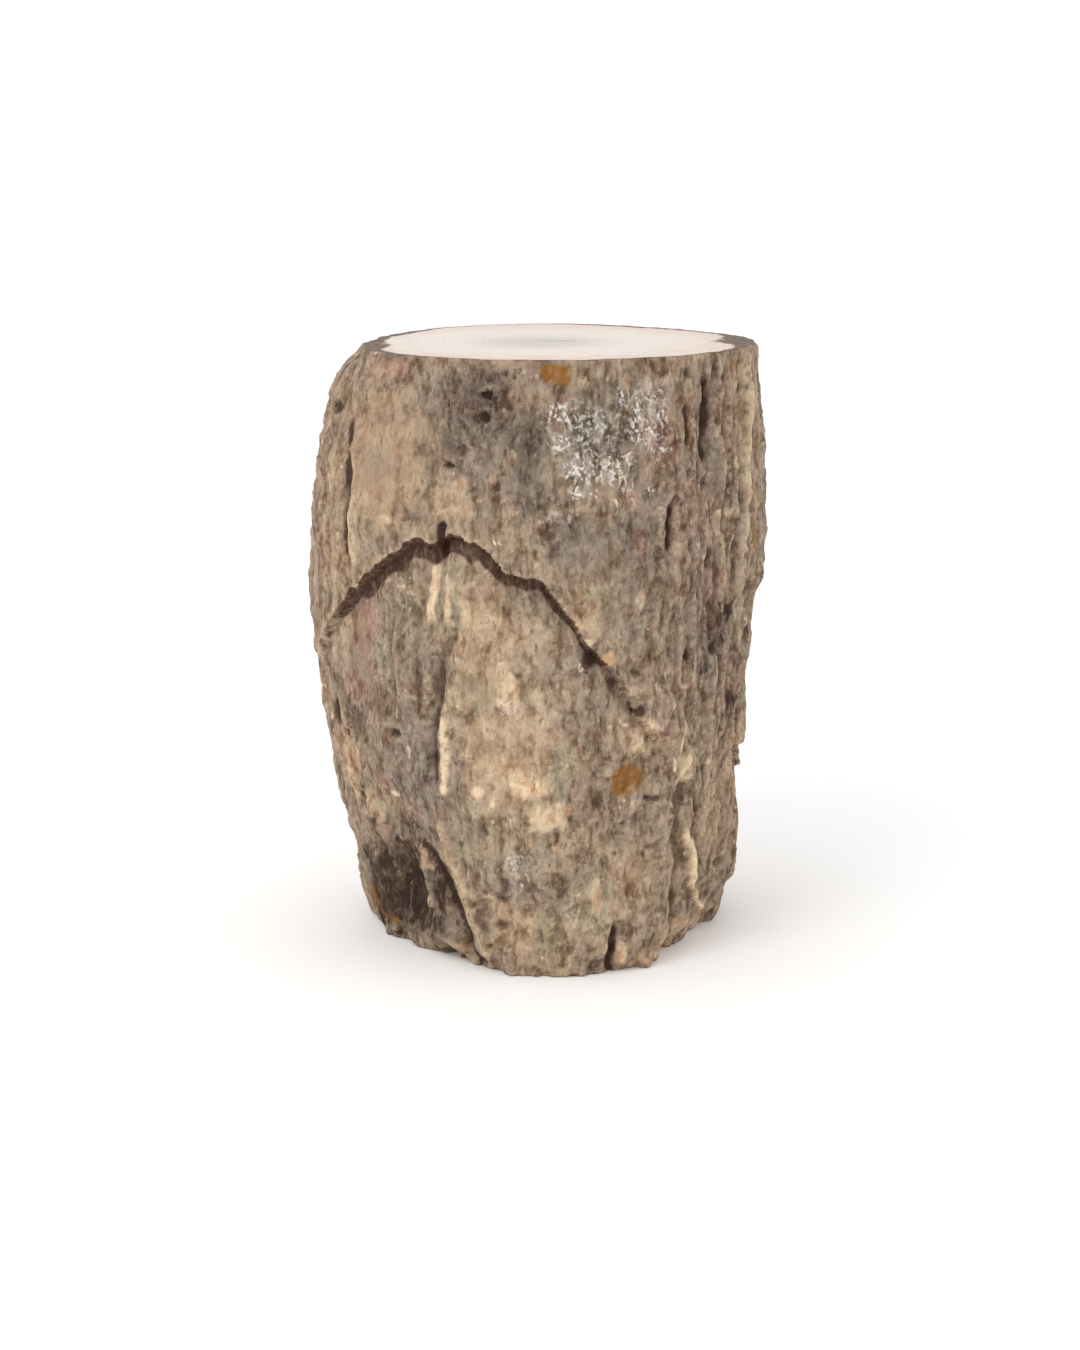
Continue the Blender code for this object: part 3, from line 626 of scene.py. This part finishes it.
mesh = bpy.data.meshes.new("petrifiedWood")
mesh.from_pydata(points, [], quads.tolist() + tips[0].tolist() + tips[1].tolist())
runs = (sideCount, capQuads, capQuads, log["facesRound"], log["facesRound"])
materialIndex = np.repeat((0, 2, 1, 2, 1), runs)  # side, base, top, then the middles of base and top
mesh.polygons.foreach_set("material_index", materialIndex)
mesh.shade_smooth()
mesh.set_sharp_from_angle(angle=math.radians(50))


# One number for every point, which the materials read by its name.
def pointValues(name, onTheSide, onEachCap):
    values = np.concatenate([onTheSide.ravel(), onEachCap, onEachCap]).astype(np.float32)
    mesh.attributes.new(name, "FLOAT", "POINT").data.foreach_set("value", values)


for name, values in masks.items():
    pointValues(name, values, np.zeros((len(points) - radii.size) // 2))

# On the sawn faces inBark is the distance in from the rim, as a share of how wide the brown band is there.
turnAll = np.tile(across[-1], len(caps["rings"]))
shares = np.repeat(caps["rings"], log["facesRound"])
bandWidth = np.full(turnAll.shape, caps["barkWidth"])
for at, spread, wide in caps["barkLobes"]:
    bandWidth = bandWidth + wide * np.exp(-((degreesBetween(turnAll, at) / spread) ** 2))
farInside = 30.0  # the middle point's own value
pointValues("inBark", np.zeros(radii.size), np.append((1.0 - shares) * fullRadius / bandWidth, farInside))

corners = np.empty(len(mesh.loops), int)
mesh.loops.foreach_get("vertex_index", corners)


# The flat map's strips as shares of the girth and of the height, and the gaps round its pieces.
mapSheet = {"girthShare": 0.96, "rowGap": 1.03, "slack": 0.010, "discGap": 0.012, "margin": 0.004}


# Flat map: the side is cut into a front and a back strip, laid one above the other, with both discs beside.
def flatMap():
    columns = log["facesRound"]
    faceStart = np.empty(len(mesh.polygons), int)
    mesh.polygons.foreach_get("loop_start", faceStart)
    faceOf = np.repeat(np.arange(len(mesh.polygons)), np.diff(np.append(faceStart, len(corners))))
    sidePart = faceOf < sideCount
    turnOf = (corners % columns) / columns
    wraps = sidePart & (corners % columns == 0) & (faceOf % columns == columns - 1)
    turnOf = np.where(wraps, 1.0, turnOf)
    back = (faceOf % columns) < columns // 2
    girthLength = 2 * math.pi * fullRadius * mapSheet["girthShare"]
    row = height * mapSheet["rowGap"]
    place = np.zeros((len(corners), 2))
    place[:, 0] = np.where(back, turnOf, turnOf - 0.5) * girthLength
    place[:, 1] = points[corners, 2] - cadLow.z + np.where(back, row, 0.0)
    topPart = ~sidePart & (points[corners, 2] > cadLow.z + height / 2)
    basePart = ~sidePart & ~topPart
    for part, level in ((topPart, 1.5 * height), (basePart, 0.5 * height)):
        place[part, 0] = girthLength / 2 + mapSheet["discGap"] + fullRadius + points[corners, 0][part]
        place[part, 1] = level + points[corners, 1][part]
    return (place + mapSheet["margin"]) / (2 * row + mapSheet["slack"])


mesh.uv_layers.new(name="OFBake").data.foreach_set("uv", flatMap().astype(np.float32).ravel())
mesh.update()
petrifiedWood = bpy.data.objects.new("petrifiedWood", mesh)
bpy.context.scene.collection.objects.link(petrifiedWood)
print("log meshed:", len(mesh.polygons), "faces")


# A socket in a material's nodes. Sums on it add Math nodes, and node() adds any other kind.
class Wire:
    def __init__(self, tree, socket=None):
        self.tree = tree
        self.socket = socket

    # Settings are set first, because some of them change which sockets a node has.
    def node(self, kind, settings=None, inputs=None, output=0):
        made = self.tree.nodes.new(kind)
        for name, value in (settings or {}).items():
            setattr(made, name, value)
        for name, value in (inputs or {}).items():
            if isinstance(value, Wire):
                self.tree.links.new(value.socket, made.inputs[name])
            else:
                made.inputs[name].default_value = value
        return Wire(self.tree, made.outputs[output])

    def math(self, operation, *values):
        return self.node("ShaderNodeMath", {"operation": operation}, dict(enumerate(values)))

    def __add__(self, other):
        return self.math("ADD", self, other)

    def __radd__(self, other):
        return self.math("ADD", other, self)

    def __sub__(self, other):
        return self.math("SUBTRACT", self, other)

    def __rsub__(self, other):
        return self.math("SUBTRACT", other, self)

    def __mul__(self, other):
        return self.math("MULTIPLY", self, other)

    def __rmul__(self, other):
        return self.math("MULTIPLY", other, self)

    def __truediv__(self, other):
        return self.math("DIVIDE", self, other)

    def most(self, other):
        return self.math("MAXIMUM", self, other)

    # 0 below low, 1 above high, and a smooth rise between.
    def between(self, low, high):
        return self.node("ShaderNodeMapRange", {"interpolation_type": "SMOOTHSTEP"},
                         {"Value": self, "From Min": low, "From Max": high})


# Each part of a vector plus the same part of another.
def vectorSum(a, b):
    return a.node("ShaderNodeVectorMath", {"operation": "ADD"}, {0: a, 1: b})


# Each part of a vector times its own scale.
def vectorTimes(a, scale):
    return a.node("ShaderNodeVectorMath", {"operation": "MULTIPLY"}, {0: a, 1: scale})


# The length of a vector.
def lengthOf(a):
    return a.node("ShaderNodeVectorMath", {"operation": "LENGTH"}, {0: a}, "Value")


# "#RRGGBB" as the linear colour that a shader works in.
def paint(code):
    parts = np.array([int(code[k:k + 2], 16) for k in (1, 3, 5)]) / 255.0
    linear = np.where(parts <= 0.04045, parts / 12.92, ((parts + 0.055) / 1.055) ** 2.4)
    return (*linear.tolist(), 1.0)


# From colour a to colour b by the factor, each a wire or "#RRGGBB". kind is how b is laid over a.
def blended(factor, a, b, kind="MIX"):
    a, b = (paint(part) if isinstance(part, str) else part for part in (a, b))
    first = next(part for part in (factor, a, b) if isinstance(part, Wire))
    return first.node("ShaderNodeMix", {"data_type": "RGBA", "blend_type": kind}, {0: factor, 6: a, 7: b}, 2)


# An empty material, a wire to start its nodes from, and its shader.
def newMaterial(name):
    material = bpy.data.materials.new(name)
    material.use_nodes = True
    tree = material.node_tree
    return material, Wire(tree), tree.nodes["Principled BSDF"]


# The points' own number of this name.
def attribute(wire, name):
    return wire.node("ShaderNodeAttribute", {"attribute_name": name}, output=2)


# Noise whose largest blots are about one size across. Its Color output is three noises in one.
def noise(where, size, octaves=3.0, roughness=0.55, output=0):
    inputs = {"Vector": where, "Scale": 1.0 / size, "Detail": octaves, "Roughness": roughness}
    return where.node("ShaderNodeTexNoise", None, inputs, output)


# Places pushed along by noise of one size, by up to the reach.
def bentBy(place, size, reach):
    return vectorSum(place, vectorTimes(noise(place, size, 3.0, 0.5, "Color"), reach))


# The look of a surface raised by up to this height.
def bumped(rise, highest, strength):
    return rise.node("ShaderNodeBump", None, {"Height": rise, "Distance": highest, "Strength": strength})


# Links each named socket of the shader to its wire.
def plug(shader, wires):
    for name, wire in wires.items():
        wire.tree.links.new(wire.socket, shader.inputs[name])


# A zone's mask with its soft edge turned into a ragged one.
def zone(mask, texture, raggedness):
    return (mask + (texture - 0.5) * raggedness).between(0.22, 0.80)


roughSide = {
    "tan": "#967A5F",
    "brown": "#69523F",
    "warm": "#B3926F",
    "grey": "#52433A",
    "mauve": "#685854",
    "rose": "#9C6C58",
    "olive": "#8F886C",
    "cream": "#EED6B2",
    "peach": "#D3A57C",
    "ochre": "#8A5A20",
    "dark": "#33211A",
    "umber": "#4A3528",
    "edge": "#452B21",
    "crystal": "#EFECE6",
    "pale": "#CDB799",
    "dimTint": "#B9AAA3",
    "shadeTint": "#B3A397",
    "lightTint": "#FFEFD6",
    "roughness": 0.80,
    "gloss": 0.18,
    "grainSize": 0.0030,  # across the grain
    "grainStretch": 0.28,  # how much slower it changes up the log
    "fleckSize": 0.0042,
    "mottleSize": 0.014,
    "spotSize": 0.0075,
    "blotchSize": 0.036,
    "veinSize": 0.0050,  # of the crystals' net
    "bumpHeight": 0.00055,
}


# Broad colours in zones, then finer tone, then marks, each laid over the last by a mask with a noisy edge.
def makeSideStone():
    look = roughSide
    material, wire, shader = newMaterial("weatheredStone")
    place = bentBy(wire.node("ShaderNodeTexCoord", output="Object"), 0.020, (0.010, 0.010, 0.010))
    along = vectorTimes(place, (1.0, 1.0, look["grainStretch"]))

    grain = noise(along, look["grainSize"], 3.0, 0.6)
    streak = noise(along, look["mottleSize"] * 0.6, 4.0, 0.6)
    fleck = noise(place, look["fleckSize"], 4.0, 0.65)
    mottle = noise(place, look["mottleSize"], 5.0, 0.62)
    blotch = noise(place, look["blotchSize"], 5.0, 0.62)
    grit = noise(place, look["fleckSize"] * 0.45, 2.0, 0.6)
    tints = noise(place, look["mottleSize"] * 0.7, 4.0, 0.6, "Color")
    tints = wire.node("ShaderNodeSeparateColor", None, {"Color": tints})
    hue = noise(vectorSum(place, (3.1, 0.7, 1.9)), look["mottleSize"], 4.0, 0.6, "Color")
    hue = wire.node("ShaderNodeSeparateColor", None, {"Color": hue}, 1)
    grey, warm, cream, mauve = (attribute(wire, name) for name in ("grey", "warm", "cream", "mauve"))
    dark, rose, ochre, olive = (attribute(wire, name) for name in ("dark", "rose", "ochre", "olive"))
    crystal, edgeShade, calm = (attribute(wire, name) for name in ("crystal", "edgeShade", "calm"))
    dim, lit = attribute(wire, "dim"), attribute(wire, "lit")
    stained, paled = attribute(wire, "stained"), attribute(wire, "paled")
    hollow, crest, deep = (attribute(wire, name) for name in ("hollow", "crest", "deep"))

    # Broad colours first: brown to tan, then the zones, each with an edge broken up by noise.
    colour = blended((streak * 0.35 + blotch * 0.65).between(0.38, 0.60), look["brown"], look["tan"])
    colour = blended(zone(warm, mottle, 0.9), colour, look["warm"])
    colour = blended(zone(grey, mottle, 0.9) * 0.85, colour, look["grey"])
    colour = blended(zone(mauve, fleck, 1.2) * 0.85, colour, look["mauve"])
    rosy = (zone(rose, fleck, 1.2) * 0.8).most(tints.between(0.55, 0.68) * 0.45)
    colour = blended(rosy, colour, look["rose"])
    mossy = (zone(olive, fleck, 1.2) * 0.8).most(hue.between(0.55, 0.68) * 0.40)
    colour = blended(mossy, colour, look["olive"])
    # Painted light from the lit ovals, also the stone's lighter tone, in the pale colour.
    colour = blended(zone(lit, mottle, 1.0) * 0.36, colour, look["pale"])
    # Painted shade from the dim ovals, also the stone's darker tone: the colour times the dim tint.
    dimmed = blended(1.0, colour, look["dimTint"], "MULTIPLY")
    colour = blended(zone(dim, streak * 0.5 + mottle * 0.5, 1.3) * 0.75, colour, dimmed)

    # Then finer tone: every grain and fleck is a little lighter or darker than the stone round it.
    tone = grain * 0.20 + fleck * 0.14 + streak * 0.32 + mottle * 0.34
    tone = (tone - 0.5) * (1.0 - 0.40 * calm) + 0.5
    darker = blended(1.0, colour, look["shadeTint"], "MULTIPLY")
    lighter = blended(0.26, colour, look["lightTint"])
    colour = blended(tone.between(0.37, 0.63), darker, lighter)
    speck = grain * 0.45 + fleck * 0.40 + grit * 0.15
    colour = blended(speck.between(0.57, 0.68) * 0.22, colour, look["cream"])
    colour = blended(speck.between(0.435, 0.32) * 0.28, colour, look["umber"])
    spot = noise(vectorTimes(place, (1.0, 1.0, 0.6)), look["spotSize"], 3.0, 0.6)
    clusters = blotch.between(0.40, 0.60) * (1.0 - 0.8 * calm)
    colour = blended(spot.between(0.61, 0.72) * clusters * 0.8, colour, look["cream"])
    colour = blended(spot.between(0.38, 0.28) * (0.62 - 0.50 * calm), colour, look["umber"])

    # Then the marks: cream and ochre stains, the dark zones and painted shade in the hollows, painted shade
    # in the furrows and pits, the broken edges' band of painted shadow and dark patina, and the crystals.
    creamTone = blended(hue.between(0.46, 0.60) * (1.0 - paled), look["cream"], look["peach"])
    glow = (cream + (mottle * 0.6 + fleck * 0.4 - 0.5) * 1.6).between(0.05, 1.25) * 0.80
    spots = (cream * 0.70 + (speck - 0.5) * 2.2).between(0.30, 1.05) * 0.80
    pale = (glow * cream.between(0.0, 0.70)).most(spots * cream.between(0.02, 0.40))
    pale = pale.most(paled * (0.50 + 0.50 * speck.between(0.38, 0.54)))
    colour = blended(pale, colour, creamTone)
    rust = zone(ochre, fleck * 0.5 + mottle * 0.5, 2.0) * (0.70 + 0.25 * grain.between(0.38, 0.56))
    colour = blended(rust, colour, look["ochre"])
    colour = blended(crest * fleck.between(0.40, 0.60) * 0.22, colour, look["cream"])
    # The dark zones, then painted shade in the small hollows and the wide hollows, all in the dark colour.
    gloom = (dark + (grain * 1.3 + streak * 1.2 + mottle * 0.6 - 1.55) * 1.7).between(0.14, 1.10)
    darkAndShade = (gloom * 0.96).most(hollow * 0.30)
    darkAndShade = darkAndShade.most(deep * 0.26)
    colour = blended(darkAndShade, colour, look["dark"])
    # Painted shade in the furrows and pits, in the dark colour.
    colour = blended((stained + (fleck - 0.5) * 0.6).between(0.25, 0.75) * 0.85, colour, look["dark"])
    # The ledges' band: painted shadow under the lip and dark patina, in the edge colour.
    broken = (edgeShade + (fleck - 0.5) * 0.5).between(0.25, 0.62) * (0.72 + 0.28 * grain.between(0.62, 0.44))
    colour = blended(broken * 0.95, colour, look["edge"])
    net = {"Vector": vectorTimes(place, (1.0, 1.0, 0.62)), "Scale": 1.0 / look["veinSize"]}
    veins = wire.node("ShaderNodeTexVoronoi", {"feature": "DISTANCE_TO_EDGE"}, net)
    veins = veins.between(0.24, 0.05) * noise(place, look["veinSize"] * 0.68, 2.0, 0.6).between(0.47, 0.60)
    frost = (streak * 0.5 + speck * 0.5).between(0.48, 0.62) * 0.40
    sparkle = crystal.between(0.08, 0.85) * veins.most(frost).most(speck.between(0.55, 0.63) * 0.8) * 0.68
    colour = blended(sparkle, colour, look["crystal"])

    roughness = look["roughness"] - 0.20 * sparkle - 0.10 * crest
    bump = bumped(grain * 0.45 + fleck * 0.40 + grit * 0.30, look["bumpHeight"], 0.9)
    plug(shader, {"Base Color": colour, "Roughness": roughness, "Normal": bump})
    shader.inputs["Specular IOR Level"].default_value = look["gloss"]
    return material


polishedTop = {
    "cream": "#CDBBA9",
    "peach": "#C49D7F",
    "heart": "#958579",
    "streak": "#5E4E46",
    "bark": "#4E3C30",
    "ringGap": 0.0058,
    "pith": (0.012, 0.004),
    "roughness": 0.18,
    "gloss": 0.32,
}


# The distance from the pith, bent by slow waves, gives the growth rings. The heart is darker, with a slit.
# inBark marks the brown band inside the rim.
def makePolishedTop():
    look = polishedTop
    material, wire, shader = newMaterial("polishedStone")
    place = wire.node("ShaderNodeTexCoord", output="Object")
    flat = vectorTimes(vectorSum(place, (-look["pith"][0], -look["pith"][1], 0.0)), (1.0, 1.0, 0.0))
    fromPith = lengthOf(bentBy(flat, 0.05, (0.020, 0.020, 0.0)))
    inBark = attribute(wire, "inBark")
    mottle = noise(flat, 0.022, 5.0, 0.6)
    fine = noise(flat, 0.004, 3.0, 0.6)
    ring = wire.math("FRACT", fromPith / look["ringGap"] + mottle * 1.2)
    ringLine = (1.0 - ring.between(0.0, 0.25)) + ring.between(0.86, 1.0)
    outer = fromPith.between(0.070, 0.150)
    heart = 1.0 - (fromPith + mottle * 0.03).between(0.030, 0.085)

    colour = blended((mottle * 0.7 + outer * 0.3).between(0.38, 0.68), look["cream"], look["peach"])
    colour = blended(heart * 0.80, colour, look["heart"])
    colour = blended(ringLine * 0.18, colour, look["streak"])
    colour = blended(fine.between(0.60, 0.72) * 0.3, colour, look["cream"])
    slit = lengthOf(vectorTimes(flat, (1.0, 3.2, 0.0)))
    colour = blended((slit + (mottle - 0.5) * 0.03).between(0.026, 0.010) * 0.7, colour, look["streak"])
    barkEdge = (inBark + (mottle - 0.5) * 1.1 + (fine - 0.5) * 0.5).between(1.15, 0.85)
    barkColour = blended(fine.between(0.45, 0.70) * 0.6, look["bark"], look["heart"])
    colour = blended(barkEdge * 0.95, colour, barkColour)
    roughness = look["roughness"] + 0.45 * barkEdge + 0.06 * fine
    plug(shader, {"Base Color": colour, "Roughness": roughness})
    shader.inputs["Specular IOR Level"].default_value = look["gloss"]
    return material


sawnBase = {
    "pale": "#A8988A",
    "brown": "#6E5C4E",
    "ringGap": 0.0062,
    "roughness": 0.72,
    "scratchSize": 0.002,
    "scratchDepth": 0.0004,
}


# Faint rings round the middle, under the scratches of the saw, which run one way.
def makeSawnBase():
    look = sawnBase
    material, wire, shader = newMaterial("sawnStone")
    place = wire.node("ShaderNodeTexCoord", output="Object")
    flat = vectorTimes(place, (1.0, 1.0, 0.0))
    fromPith = lengthOf(bentBy(flat, 0.05, (0.022, 0.022, 0.0)))
    mottle = noise(flat, 0.020, 5.0, 0.6)
    ring = wire.math("FRACT", fromPith / look["ringGap"])
    colour = blended((mottle * 0.7 + ring * 0.3).between(0.35, 0.65), look["brown"], look["pale"])
    sawMarks = noise(vectorTimes(place, (1.0, 0.06, 0.0)), look["scratchSize"], 2.0)
    bump = bumped(sawMarks, look["scratchDepth"], 0.6)
    plug(shader, {"Base Color": colour, "Roughness": look["roughness"] + 0.1 * mottle, "Normal": bump})
    return material


for material in (makeSideStone(), makePolishedTop(), makeSawnBase()):
    mesh.materials.append(material)
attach(petrifiedWood, "root")
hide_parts("petrified_wood")
print("materials made")


studio = {
    "floorSize": 12.0,
    "floorGap": 0.0003,  # below the stone, so that the two faces don't meet
    "floor": "#FDFCFB",
    "floorRoughness": 0.9,
    "worldStrength": 1.05,
    "keyPower": 24.0,
    "keySize": 1.6,
    "keyAt": (-1.3, -1.9, 2.4),
    "cameraAt": (0.0015, -2.15, 0.618),
    "cameraAim": (0.0015, 0.0, 0.186),
    "lens": 79.8,
}


# One large level square under the stone.
def makeFloor():
    half = studio["floorSize"] / 2
    square = [(-half, -half, 0), (half, -half, 0), (half, half, 0), (-half, half, 0)]
    floorMesh = bpy.data.meshes.new("studioFloor")
    floorMesh.from_pydata(square, [], [(0, 1, 2, 3)])
    floorObject = bpy.data.objects.new("studioFloor", floorMesh)
    floorObject.location.z = cadLow.z - studio["floorGap"]
    bpy.context.scene.collection.objects.link(floorObject)
    material, _, shader = newMaterial("paleFloor")
    shader.inputs["Base Color"].default_value = paint(studio["floor"])
    shader.inputs["Roughness"].default_value = studio["floorRoughness"]
    floorMesh.materials.append(material)


# Turns a light or the camera, which look down their own Z, towards the target.
def aim(thing, target):
    way = Vector(target) - thing.location
    thing.rotation_euler = way.to_track_quat("-Z", "Y").to_euler()


# An even white world, one soft round light from the upper left, and the camera in front.
def makeLightsAndCamera():
    scene = bpy.context.scene
    world = bpy.data.worlds.new("studioWorld")
    world.use_nodes = True
    background = world.node_tree.nodes["Background"]
    background.inputs["Color"].default_value = (1.0, 1.0, 1.0, 1.0)
    background.inputs["Strength"].default_value = studio["worldStrength"]
    scene.world = world

    key = bpy.data.objects.new("keyLight", bpy.data.lights.new("keyLight", "AREA"))
    key.data.shape = "DISK"
    key.data.size = studio["keySize"]
    key.data.energy = studio["keyPower"]
    key.location = studio["keyAt"]
    scene.collection.objects.link(key)
    aim(key, (0.0, 0.0, height / 2))

    camera = bpy.data.objects.new("studioCamera", bpy.data.cameras.new("studioCamera"))
    camera.data.lens = studio["lens"]
    camera.location = studio["cameraAt"]
    scene.collection.objects.link(camera)
    aim(camera, studio["cameraAim"])
    scene.camera = camera
    scene.view_settings.view_transform = "Standard"


makeFloor()
makeLightsAndCamera()
print("studio made")
